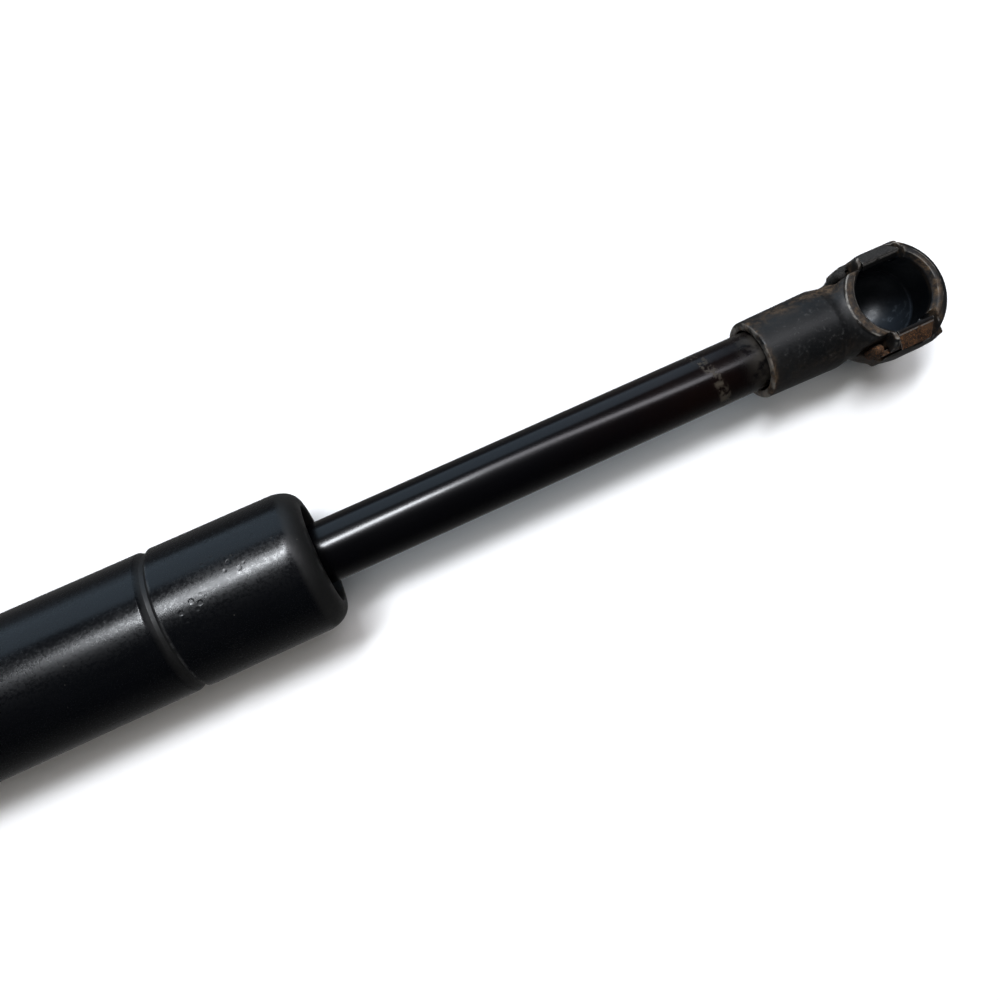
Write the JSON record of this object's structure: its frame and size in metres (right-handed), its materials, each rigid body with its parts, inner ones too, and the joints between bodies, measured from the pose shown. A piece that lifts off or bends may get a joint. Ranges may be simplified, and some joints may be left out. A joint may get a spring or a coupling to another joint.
{
  "type": "gas strut stay",
  "caption": "Gas strut stay: a black pressure tube with a sliding, turning rod, and at each end a moulded ball socket with a spring safety clip.",
  "frame": {"origin": "centre of the ball seat in the tube's socket", "axes": "+X along the strut towards the rod's socket, +Z the way both sockets open, rest pose fully extended"},
  "size_m": [0.2728, 0.023, 0.023],
  "materials": {
    "tube_paint": "satin black paint over steel, with small chips and scuffs",
    "black_rod": "glossy black nitrided steel with faint draw lines and a brown smear",
    "socket_plastic": "glass-filled black plastic, speckled, with pale wear on its edges and brown dirt in its recesses",
    "clip_steel": "spring steel under brown rust, rubbed bright along its folded edges",
    "rusty_steel": "steel under orange-brown rust",
    "plated_steel": "zinc plated, satin",
    "guide_alloy": "machined alloy, satin",
    "bush_lining": "bronze lining, dull",
    "seal_rubber": "oily black rubber",
    "ring_polymer": "dark filled polymer"
  },
  "bodies": {
    "tube": {"pressure_tube": "tube_paint", "end_plug": "plated_steel", "end_plug_o_ring": "seal_rubber", "end_stud": "plated_steel", "front_washer": "rusty_steel", "wiper_seal": "seal_rubber", "rod_guide": "guide_alloy", "guide_bush": "bush_lining", "guide_o_ring": "seal_rubber", "lip_seal": "seal_rubber", "seal_washer": "plated_steel", "tube_socket": "socket_plastic"},
    "piston_seal": {"piston_ring": "ring_polymer"},
    "rod": {"piston_rod": "black_rod", "piston_washer": "plated_steel", "piston": "guide_alloy", "valve_disc": "plated_steel", "piston_nut": "plated_steel", "rod_socket": "socket_plastic"},
    "rod_clip": {"rod_socket_clip": "clip_steel"},
    "tube_clip": {"tube_socket_clip": "clip_steel"}
  },
  "joints": [
    {"name": "rod_slide", "type": "slide", "parent": "tube", "child": "piston_seal", "axis": [1, 0, 0], "range_m": [-0.07, 0], "stiffness_N_per_m": 860, "springref_m": 0.07},
    {"name": "rod_spin", "type": "hinge", "parent": "piston_seal", "child": "rod", "pos_m": [0.15, 0, 0], "axis": [1, 0, 0], "continuous": true},
    {"name": "rod_clip_slide", "type": "slide", "parent": "rod", "child": "rod_clip", "axis": [1, 0, 0], "range_m": [0, 0.0006]},
    {"name": "tube_clip_slide", "type": "slide", "parent": "tube", "child": "tube_clip", "axis": [-1, 0, 0], "range_m": [0, 0.0006]}
  ]
}
